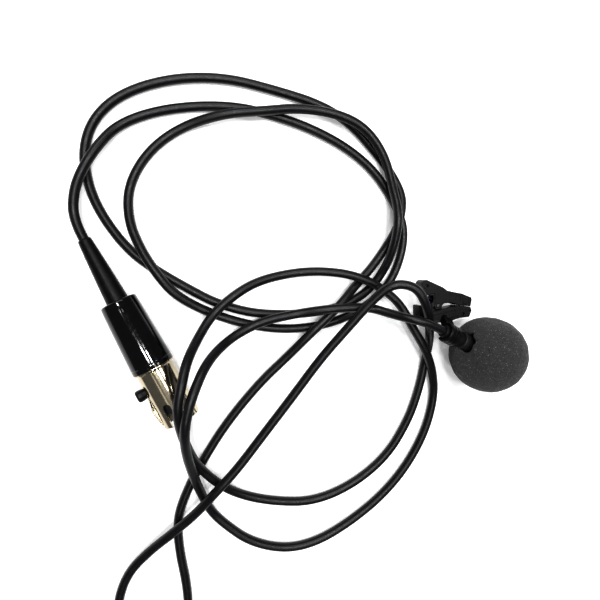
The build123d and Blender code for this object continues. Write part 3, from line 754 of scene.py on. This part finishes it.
# ------------------------------------------------------------------ clip
UPPER_JAW = [(5.5, 0.05), (8.9, -0.35)]
LOWER_JAW = [(5.5, -0.01), (8.9, -0.41)]
TOOTH_PITCH = 0.72
TEETH = 4


def diamonds():
    """Square cutters on edge along the jaws' meeting line; each cuts half of its notch in each jaw."""
    (x, y), (far_x, far_y) = UPPER_JAW
    slope = (far_y - y) / (far_x - x)
    cutters = []
    for i in range(TEETH):
        reach = 0.45 + TOOTH_PITCH * i
        centre = (x + reach, y + slope * reach - 0.03)
        cutters.append(across_clip(rectangle(0.42, 0.42, centre, TURN / 8)))
    return cutters


def make_upper_lever():
    outline = rounded(
        [
            *arc((-1.05, 0), (0, -1.05), (1.05, 0), 16),
            (1.6, 0.55),
            (3.8, 0.65, 0.5),
            (UPPER_JAW[0][0], UPPER_JAW[0][1], 0.3),
            (UPPER_JAW[1][0], UPPER_JAW[1][1], 0.22),
            (9.2, 1.3, 0.3),
            (9.1, 1.95, 0.3),
            (6.4, 3.0, 0.8),
            (4.3, 3.35, 1),
            (2.4, 3.75, 1),
            (1.3, 4.55, 1),
            *arc((-2.89, 6.35), (-4.5, 5.3), (-3.5, 4.16)),
            (-2.9, 2.5, 0.3),
            (-0.9, 3.15, 0.3),
        ],
        0.25,
    )
    lever = prism(outline, 0, CLIP_WIDTH, RIM)
    pocket = prism(rectangle(3.4, 4.2, (0.05, 0.4)), CHEEK, CLIP_WIDTH - CHEEK)
    hole = across_clip(circle(PIN_R))
    dimple = lathe(rounded([(0, 3.2, 0), (0.35, 3.2, 0.1), (0.5, 4.4, 0), (0, 4.4, 0)], 0.05), 32)
    moved(dimple, Matrix.Translation((-3.1, 5.0, 0)))
    panel = rounded([(1.9, 1.2), (3.9, 1.2), (6.0, 0.75), (6.0, 2.45), (4.2, 2.8), (2.1, 3.2)], 0.25)
    combine(lever, "DIFFERENCE", pocket, hole, dimple, *diamonds(), *both_sides(panel, 0.14))
    for x, low, high in ((6.75, 0.45, 2.55), (7.6, 0.35, 2.3), (8.45, 0.25, 2.0)):
        left, right = x - RIM, x + RIM
        rib = rounded([(left, low), (right, low), (right, high), (left, high)], 0.12)
        combine(lever, "UNION", prism(rib, -0.1, CLIP_WIDTH + 0.1, 0.08))
    bevelled(lever, EDGE)
    stands_for = "clip_upper_lever"
    place(lever, "clip_upper", clip_frame, clip_finish, "clip_upper", "clip_plastic", stands_for, flat=True)


def make_lower_lever():
    outline = rounded(
        [
            (-5.1, 0.1),
            (-4.0, 0.1),
            (-3.8, -1.95, 0.3),
            (-2.7, -1.72, 0.3),
            LOWER_JAW[0],
            (LOWER_JAW[1][0], LOWER_JAW[1][1], 0.22),
            (9.25, -1.4, 0.3),
            (8.6, -3.0, 0.5),
            (6.2, -3.2, 0.8),
            (4.6, -3.6, 0.8),
            (3.2, -4.3, 0.5),
            (-1.4, -4.3, 0.4),
            (-2.2, -3.2, 0.4),
            (-5.0, -3.15, 0.4),
        ],
        0.2,
    )
    lever = prism(outline, 0, CLIP_WIDTH, RIM)
    ear_foot = [(-1.2, -1.8, 0), (1.6, -1.2, 0)]
    ear_top = [(1.0, -0.1), (1.0, 1.0, 1.0), (-1.0, 1.0, 1.0), (-1.0, -0.1)]
    for low in (EAR_LOW, CLIP_WIDTH - EAR_LOW - EAR):
        combine(lever, "UNION", prism(rounded([*ear_foot, *ear_top], 0.2), low, low + EAR))
    hole = across_clip(circle(PIN_R + 0.05))
    groove_top = [(-2.3, -2.45), (5.9, -0.84), (8.7, -1.2)]
    groove = rounded([*groove_top, (8.66, -1.42), (5.9, -1.08), (-2.2, -2.7)], 0.08)
    pocket = rounded([(3.0, -2.15), (7.4, -1.65), (7.0, -2.65), (4.4, -2.95), (3.4, -3.3)], 0.25)
    panel = rounded([(-1.3, -2.95), (2.3, -2.3), (2.5, -3.75), (-0.9, -3.75)], 0.25)
    cuts = [*both_sides(groove, 0.3), *both_sides(pocket, 0.6), *both_sides(panel, 0.16)]
    combine(lever, "DIFFERENCE", hole, *diamonds(), *cuts)
    for x in (-4.7, -4.0, -3.3):
        combine(lever, "DIFFERENCE", across_clip(circle(NOTCH_R, (x, -3.17), 16)))

    floor_r = RING_R - RING_GROOVE
    ring_profile = [(SLEEVE_R + FIT, RING_START), (RING_R - 0.12, RING_START)]
    for k in range(3):
        low = RING_START + 0.12 + RING_PITCH * k
        ring_profile += [(RING_R, low), (RING_R, low + 0.7), (floor_r, low + 0.76), (floor_r, low + 0.89)]
    ring_profile = ring_profile[:-2] + [(RING_R - 0.12, RING_END), (SLEEVE_R + FIT, RING_END)]
    ring = lathe(ring_profile, 96)
    arm_near = [(-0.9, -1.9, 0), (-2.0, -0.5, 0), (-4.3, -3.6, 0.6)]
    arm_far = [(-4.3, -6.7), (-3.0, -6.7), (-2.9, -4.6, 0.8)]
    arm = prism(rounded([*arm_near, *arm_far], 0.2), RING_START + FIT, RING_END - FIT, 0.14)
    bore = prism(circle(SLEEVE_R + FIT, steps=96), RING_START - 1, RING_END + 1)
    slot_centre = (RING_R * math.cos(SLOT_ANGLE), RING_R * math.sin(SLOT_ANGLE))
    slot_outline = rectangle(2 * RING_R, SLOT_WIDTH, slot_centre, SLOT_ANGLE)
    slot = prism(slot_outline, RING_START - 1, RING_END + 1)
    combine(ring, "UNION", arm)
    combine(ring, "DIFFERENCE", bore, slot)
    moved(ring, clip_frame.inverted() @ mic_frame)
    combine(lever, "UNION", ring)
    bevelled(lever, EDGE)
    place(lever, "clip_lower", clip_frame, clip_finish, "root", "clip_plastic", "clip_lower_lever", flat=True)


def make_pin_and_spring():
    profile = rounded(
        [
            (0, -0.08, 0),
            (0.42, -0.08, 0.1),
            (PIN_R, 0.08, 0),
            (PIN_R, CLIP_WIDTH - 0.08, 0),
            (0.42, CLIP_WIDTH + 0.08, 0.1),
            (0, CLIP_WIDTH + 0.08, 0),
        ],
        0.05,
    )
    pin = lathe(profile, 48)
    place(pin, "pin", clip_frame, pin_finish, "clip_upper", "pin_steel", "clip_pin")
    low = (CLIP_WIDTH - COIL_HEIGHT) / 2
    coil = []
    for k in range(COIL_STEPS + 1):
        a = COIL_START + TURN * COIL_TURNS * k / COIL_STEPS
        coil.append((COIL_R * math.cos(a), COIL_R * math.sin(a), low + COIL_HEIGHT * k / COIL_STEPS))
    wire = tube_through([(-2.6, -1.5, low), *coil, (-2.5, 2.35, low + COIL_HEIGHT)], WIRE_R)
    spring = place(wire, "clip_coil", clip_frame, spring_finish, None, "spring_steel", "clip_spring")
    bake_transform(spring)


make_upper_lever()
make_lower_lever()
make_pin_and_spring()


# ------------------------------------------------------------------ microphone
def make_housing():
    profile = rounded(
        [
            (FRONT_LIP_R, HOUSING_FRONT, 0.05),
            (HOUSING_R, HOUSING_FRONT, 0.2),
            *grooves(HOUSING_R, (HOUSING_REAR - 1.7, HOUSING_REAR - 1.1), 0.26),
            (HOUSING_R, HOUSING_REAR, 0.35),
            (SLEEVE_R + 0.03, HOUSING_REAR, 0),
            (SLEEVE_R + 0.03, HOUSING_REAR - REAR_WALL, 0),
            (HOUSING_BORE_R, HOUSING_REAR - REAR_WALL, 0),
            (HOUSING_BORE_R, HOUSING_FRONT + FRONT_LIP, 0),
            (FRONT_LIP_R, HOUSING_FRONT + FRONT_LIP, 0),
        ],
        0.1,
    )
    place(lathe(profile, 96), "housing", mic_frame, housing_finish, "root", "housing_metal", "mic_housing")
    starts = [HOUSING_REAR + 0.25 + 0.45 * k for k in range(4)]
    profile = rounded(
        [
            (CABLE_DIAMETER / 2 + 0.01, HOUSING_REAR - SLEEVE_FOOT, 0),
            (SLEEVE_FOOT_R, HOUSING_REAR - SLEEVE_FOOT, 0),
            (SLEEVE_FOOT_R, HOUSING_REAR - REAR_WALL, 0),
            (SLEEVE_R, HOUSING_REAR - REAR_WALL, 0),
            *grooves(SLEEVE_R, starts, 0.24),
            (SLEEVE_R, TAIL_END, 0.35),
            (CABLE_DIAMETER / 2 + 0.01, TAIL_END, 0),
        ],
        0.1,
    )
    place(lathe(profile, 72), "sleeve", mic_frame, sleeve_finish, "root", "sleeve_rubber", "mic_sleeve")


def foam_rings():
    """(centre, axis, radius) of each ring, from the far pole, round the ball and the lip, into the bore."""
    heading = math.atan2(tail_dir.y, tail_dir.x)
    level = Vector((math.cos(heading), math.sin(heading), 0))
    to_local = mic_frame.inverted().to_3x3().normalized()
    mouth = to_local @ (level * math.cos(MOUTH_RISE) + Vector((0, 0, math.sin(MOUTH_RISE))))
    tail = Vector((0, 0, 1))
    start = tail * MOUTH_START
    along = -start.dot(mouth) + math.sqrt(start.dot(mouth) ** 2 + BALL_R**2 - MOUTH_START**2)
    lip = start + mouth * along
    pole = lip.normalized()
    lip_r = BORE_R + MOUTH_FLARE * along
    lip_angle = math.asin(lip_r / BALL_R)
    first_angle = lip_angle + LIP_ROUND
    rings = []
    count = round((math.pi - first_angle) * BALL_R / FOAM_STEP)
    for k in range(count + 1):
        angle = math.pi - (math.pi - first_angle) * k / count
        rings.append((pole * BALL_R * math.cos(angle), pole, max(0.02, BALL_R * math.sin(angle))))
    before = (BALL_R * math.sin(first_angle), BALL_R * math.cos(first_angle))
    corner = (lip_r + 0.05, BALL_R * math.cos(lip_angle) + 0.18)
    after = (lip_r - 0.05, BALL_R * math.cos(lip_angle) - 1.0)
    for k in range(1, 17):
        t = k / 16
        r, h = ((1 - t) ** 2 * a + 2 * t * (1 - t) * b + t * t * c for a, b, c in zip(before, corner, after))
        rings.append((pole * h, pole, r))
    last, _, last_r = rings[-1]
    for k in range(1, 25):
        t = k / 24
        rings.append((last.lerp(start, t), pole.lerp(tail, t).normalized(), last_r + (BORE_R - last_r) * t))
    for k in range(1, 30):
        z = MOUTH_START - (MOUTH_START - BORE_END) * k / 29
        rings.append((tail * z, tail, BORE_R))
    for k in range(1, 8):
        rings.append((tail * BORE_END, tail, max(0.02, BORE_R * (1 - k / 7))))
    return rings, pole


def smooth(start, end, value):
    """From 0 at start to 1 at end, without corners."""
    t = min(1.0, max(0.0, (value - start) / (end - start)))
    return t * t * (3 - 2 * t)


def make_foam():
    rings, pole = foam_rings()
    side = Vector((1, 0, 0))
    sides = [TURN * k / FOAM_AROUND for k in range(FOAM_AROUND)]
    bm = bmesh.new()
    made = []
    for centre, axis_dir, radius in rings:
        u = (side - axis_dir * side.dot(axis_dir)).normalized()
        v = axis_dir.cross(u)
        made.append([bm.verts.new(centre + (u * math.cos(a) + v * math.sin(a)) * radius) for a in sides])
    for lower, upper in zip(made, made[1:]):
        for k in range(FOAM_AROUND):
            bm.faces.new((lower[k - 1], lower[k], upper[k], upper[k - 1]))
    bm.faces.new(made[0])
    bm.faces.new(made[-1])
    foam = new_object(bm, "foam")
    mesh = foam.data
    # the pit depth is kept on the mesh so that the material can paint shade into the pits
    depth = mesh.attributes.new("pore_shade", "FLOAT", "POINT")
    offset = Vector((13.1, 7.7, 3.3))
    pore_shade_values = []
    rest = [(vertex.co.copy(), vertex.normal.copy()) for vertex in mesh.vertices]
    for vertex, (p, outward) in zip(mesh.vertices, rest):
        height = p.dot(pole)
        near_mouth = smooth(math.radians(46), math.radians(19), p.angle(pole, 0)) * smooth(5.5, 8.2, p.length)
        spoke = (p - pole * height).normalized()
        fold = noise.noise(spoke * 1.3 + offset)
        raised = pole * (COLLAR * near_mouth * (0.5 + fold))
        collar = raised - spoke * (PUCKER * near_mouth * (0.35 + fold))
        wide = noise.noise(p * 0.22 + offset) * 0.2 + noise.noise(p * 0.55 - offset) * 0.12
        near = noise.voronoi(p / PORE_SIZE + offset)[0]
        wall = min(1.0, max(0.0, (near[1] - near[0]) / PORE_SIZE))
        fine = noise.fractal(p * 4.5, 0.8, 2.2, 3) * 0.035
        pit = wall * (0.55 + 0.45 * noise.noise(p * 0.9 + offset * 2))
        inside = p.length < BALL_R - 1.6 and height > -6
        keep = 0.25 if inside else 1.0
        lift = wide * keep * 0.8 + fine * keep - PORE_DEPTH * pit * keep
        if inside:
            lift = -abs(lift) * 0.3
        vertex.co = p + outward * lift + collar
        pore_shade_values.append(pit * (0.6 if inside else 1.0))
    depth.data.foreach_set("value", pore_shade_values)
    place(foam, "foam_ball", mic_frame, foam_finish, "windscreen", "foam", "foam_windscreen", crease=180)


make_housing()
make_foam()

# ------------------------------------------------------------------ cable, and the CAD nodes that stay
cable_curve.materials.append(cable_finish.material)
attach(cable, "root")
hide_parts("cable")
slots = {part["node"]: part["material_slot"] for part in frame["record"]["subparts"]}
for name, obj in nodes.items():
    if not obj.hide_render:
        obj.data.materials.clear()
        obj.data.materials.append(hidden_finishes[slots[name]].material)
on_cord = ["barrel", "boot", "shell", "latch_strip", "button", "latch_leaf"]
on_cord += ["plug_insert", "socket_contacts", "plug_wires", "cable_clamp"]

# ------------------------------------------------------------------ floor and light
FLOOR_SIDE = 3.0
FLOOR_GLOW = 0.25
SKY = 0.22
GAMMA = 0.76
LAMP_HEIGHT = 0.55
floor_bm = bmesh.new()
bmesh.ops.create_grid(floor_bm, x_segments=4, y_segments=4, size=FLOOR_SIDE / 2)
floor = new_object(floor_bm, "floor")
floor_finish = Finish("floor_paper", (0.87, 0.87, 0.875), 0.7)
floor_finish.tint(floor_finish.ranged(floor_finish.noise(24, 4), 0, 0.5), (0.9, 0.9, 0.895))
floor_finish.bump(floor_finish.noise(1.2, 4), 0.05, 0.15)
floor_finish.surface.inputs["Emission Color"].default_value = (1, 1, 1, 1)
floor_finish.surface.inputs["Emission Strength"].default_value = FLOOR_GLOW
floor.data.materials.append(floor_finish.material)

world = bpy.data.worlds.new("studio")
world.use_nodes = True
sky = world.node_tree.nodes["Background"]
sky.inputs["Color"].default_value = (0.95, 0.97, 1.0, 1)
sky.inputs["Strength"].default_value = SKY
scene.world = world
scene.view_settings.view_transform = "Standard"
scene.view_settings.gamma = GAMMA


WHITE = (1, 1, 1)
WARM = (1, 0.99, 0.93)
WARMER = (1, 0.98, 0.9)
# name, metres along the plug, metres across it, size, power and colour
LAMPS = [
    ("lamp_a", -0.06, -0.06, (0.06, 0.03), 0.9, WHITE),
    ("lamp_b", -0.05, 0.09, (0.06, 0.03), 0.9, WHITE),
    ("lamp_c", -0.26, -0.06, (0.06, 0.05), 0.9, WHITE),
    ("lamp_d", 0.17, -0.15, (0.06, 0.05), 0.9, WHITE),
    ("softbox", 0.05, 0.13, (0.05, 0.13), 0.45, WARM),
    ("side_box", 0.05, 0.34, (0.07, 0.13), 0.45, WHITE),
    ("left_strip", 0.05, -0.26, (0.08, 0.12), 0.03, WARMER),
    ("strip", 0.04, 0.42, (0.05, 0.1), 0.35, WHITE),
    ("spark_a", -0.163, -0.12, (0.01, 0.02), 0.05, WHITE),
    ("spark_b", -0.16, 0.03, (0.006, 0.012), 0.02, WHITE),
]


def area_light(name, place_m, aim_m, size, power, color=WHITE, roll=0.0):
    data = bpy.data.lights.new(name, "AREA")
    data.shape = "RECTANGLE"
    data.size, data.size_y = size
    data.energy = power
    data.color = color
    light = bpy.data.objects.new(name, data)
    scene.collection.objects.link(light)
    toward = (aim_m - place_m).to_track_quat("-Z", "Y").to_matrix().to_4x4()
    light.matrix_world = Matrix.Translation(place_m) @ toward @ Matrix.Rotation(roll, 4, "Z")


middle = Vector((-0.045, 0, 0))
area_light("overhead", middle + Vector((-0.05, 0.5, LAMP_HEIGHT)), middle, (0.5, 0.15), 2.6)

# the lamps hang square to the plug, so that they draw clean bands along its metal
ahead = Vector((plug_dir.x, plug_dir.y, 0)).normalized()
across = Vector((-ahead.y, ahead.x, 0))
plug_roll = math.atan2(across.y, across.x)
for name, along_m, across_m, size, power, color in LAMPS:
    lamp_place = ahead * along_m + across * across_m + Vector((0, 0, LAMP_HEIGHT))
    area_light(name, lamp_place, lamp_place - Vector((0, 0, 1)), size, power, color, plug_roll)
